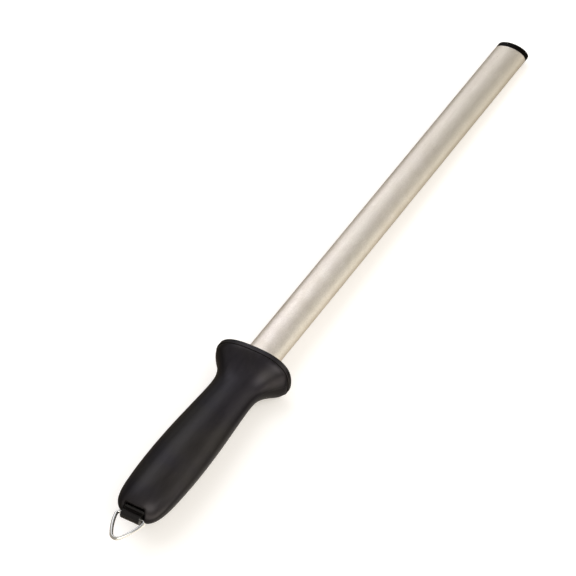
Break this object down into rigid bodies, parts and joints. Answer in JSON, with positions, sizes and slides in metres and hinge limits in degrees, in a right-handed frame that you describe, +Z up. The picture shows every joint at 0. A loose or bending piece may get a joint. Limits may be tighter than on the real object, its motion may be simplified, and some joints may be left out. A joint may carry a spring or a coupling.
{
  "type": "knife sharpening steel",
  "caption": "Oval diamond-coated sharpening rod with a capped tip, a flared oval guard, a domed black grip and a swinging wire hanging ring.",
  "frame": {"origin": "on the rod's axis at the front face of the guard", "axes": "+X along the rod to its tip, +Y across the oval's wide way, +Z up through its thin way"},
  "size_m": [0.4519, 0.0468, 0.0316],
  "materials": {
    "grip_plastic": "satin black moulded plastic",
    "tube_steel": "drawn steel tube",
    "diamond_grit": "fine nickel-bonded grit, warm light grey",
    "cap_plastic": "black moulded plastic",
    "block_plastic": "natural nylon",
    "fastener_steel": "bright zinc plate",
    "lug_plastic": "glossier black moulded plastic",
    "ring_wire": "bright nickel-plated wire"
  },
  "bodies": {
    "handle": {"handle_body": "grip_plastic", "guard_plate": "grip_plastic", "rod_tube": "tube_steel", "diamond_coating": "diamond_grit", "tip_cap": "cap_plastic", "tang_block": "block_plastic", "tang_pins": "fastener_steel", "tang_nut": "fastener_steel", "tie_washer": "fastener_steel", "tie_screw": "fastener_steel", "hanger_lug": "lug_plastic"},
    "ring": {"hanging_ring": "ring_wire"}
  },
  "joints": [
    {"name": "ring_swing", "type": "hinge", "parent": "handle", "child": "ring", "pos_m": [-0.1277, 0, 0], "axis": [0, 1, 0], "range_deg": [-105, 105]}
  ]
}
